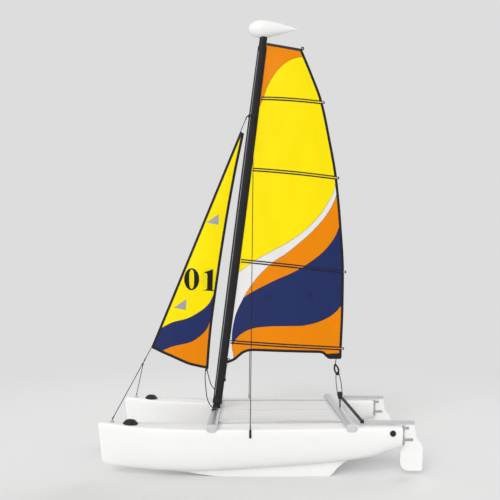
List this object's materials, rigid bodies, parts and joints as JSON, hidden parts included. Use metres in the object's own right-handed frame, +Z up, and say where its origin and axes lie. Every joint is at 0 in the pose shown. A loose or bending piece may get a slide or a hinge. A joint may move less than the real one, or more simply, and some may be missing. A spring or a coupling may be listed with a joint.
{
  "type": "small beach catamaran with sloop rig",
  "caption": "Small twin-hulled beach catamaran with trampoline, raked rotating mast, battened mainsail, jib, masthead float and linked transom rudders.",
  "frame": {"origin": "on the ground below the middle of the boat's overall length and beam, level with the soles of the two skegs", "axes": "+X towards the bows, +Y to port, +Z up"},
  "size_m": [3.251, 1.6144, 4.8517],
  "materials": {
    "hull_white": "satin moulded polyethylene",
    "float_white": "smooth white shell",
    "black_plastic": "matte moulded",
    "grey_plastic": "matte moulded",
    "mast_black": "black anodised, satin",
    "aluminium": "clear anodised, satin",
    "steel": "stainless",
    "blade_white": "white moulded blade",
    "mainsail_cloth": "resin-coated polyester in yellow, white, orange and navy panels",
    "jib_cloth": "resin-coated polyester in yellow, navy and orange panels",
    "trampoline_cloth": "woven mesh"
  },
  "bodies": {
    "platform": {"hull_port": "hull_white", "hull_starboard": "hull_white", "hatch_cap_port": "black_plastic", "hatch_cap_starboard": "black_plastic", "drain_plug_port": "black_plastic", "drain_plug_starboard": "black_plastic", "front_beam": "aluminium", "rear_beam": "aluminium", "front_beam_cap_port": "grey_plastic", "front_beam_cap_starboard": "grey_plastic", "rear_beam_cap_port": "grey_plastic", "rear_beam_cap_starboard": "grey_plastic", "trampoline": "trampoline_cloth", "trampoline_rail_port": "aluminium", "trampoline_rail_starboard": "aluminium", "mast_step": "mast_black", "stay_bail": "mast_black", "forestay": "steel", "bridle_joint": "steel", "bridle_leg_port": "steel", "bridle_leg_starboard": "steel", "bridle_plate_port": "steel", "bridle_plate_starboard": "steel", "shroud_port": "steel", "shroud_starboard": "steel", "chainplate_port": "black_plastic", "chainplate_starboard": "black_plastic", "jib": "jib_cloth", "mainsheet_block_lower": "black_plastic", "rudder_rod_port": "steel", "rudder_rod_starboard": "steel", "gudgeon_upper_port": "steel", "gudgeon_upper_starboard": "steel", "gudgeon_lower_port": "steel", "gudgeon_lower_starboard": "steel"},
    "rig": {"mast": "mast_black", "mast_foot": "black_plastic", "masthead_float": "float_white", "mainsail": "mainsail_cloth", "batten_1": "black_plastic", "batten_2": "black_plastic", "batten_3": "black_plastic", "batten_4": "black_plastic", "headboard": "black_plastic", "mainsheet_block_upper": "black_plastic"},
    "rudder_port": {"rudder_blade_port": "blade_white", "rudder_strap_upper_port": "steel", "rudder_strap_lower_port": "steel", "tiller_port": "aluminium"},
    "rudder_starboard": {"rudder_blade_starboard": "blade_white", "rudder_strap_upper_starboard": "steel", "rudder_strap_lower_starboard": "steel", "tiller_starboard": "aluminium"},
    "crossbar": {"tiller_crossbar": "black_plastic"}
  },
  "joints": [
    {"name": "mast_rotation", "type": "hinge", "parent": "platform", "child": "rig", "pos_m": [0.472, 0, 0.509], "axis": [-0.1262, 0, 0.992], "range_deg": [-45, 45]},
    {"name": "rudder_port_turn", "type": "hinge", "parent": "platform", "child": "rudder_port", "pos_m": [-1.432, 0.64, 0.4], "axis": [0, 0, 1], "range_deg": [-40, 40]},
    {"name": "rudder_starboard_turn", "type": "hinge", "parent": "platform", "child": "rudder_starboard", "pos_m": [-1.432, -0.64, 0.4], "axis": [0, 0, 1], "range_deg": [-40, 40]},
    {"name": "crossbar_pivot", "type": "hinge", "parent": "rudder_port", "child": "crossbar", "pos_m": [-1.02, 0.64, 0.53], "axis": [0, 0, 1], "range_deg": [-40, 40]}
  ],
  "couplings": [
    {"joint": "rudder_starboard_turn", "follows": "rudder_port_turn", "ratio": 1},
    {"joint": "crossbar_pivot", "follows": "rudder_port_turn", "ratio": -1}
  ]
}
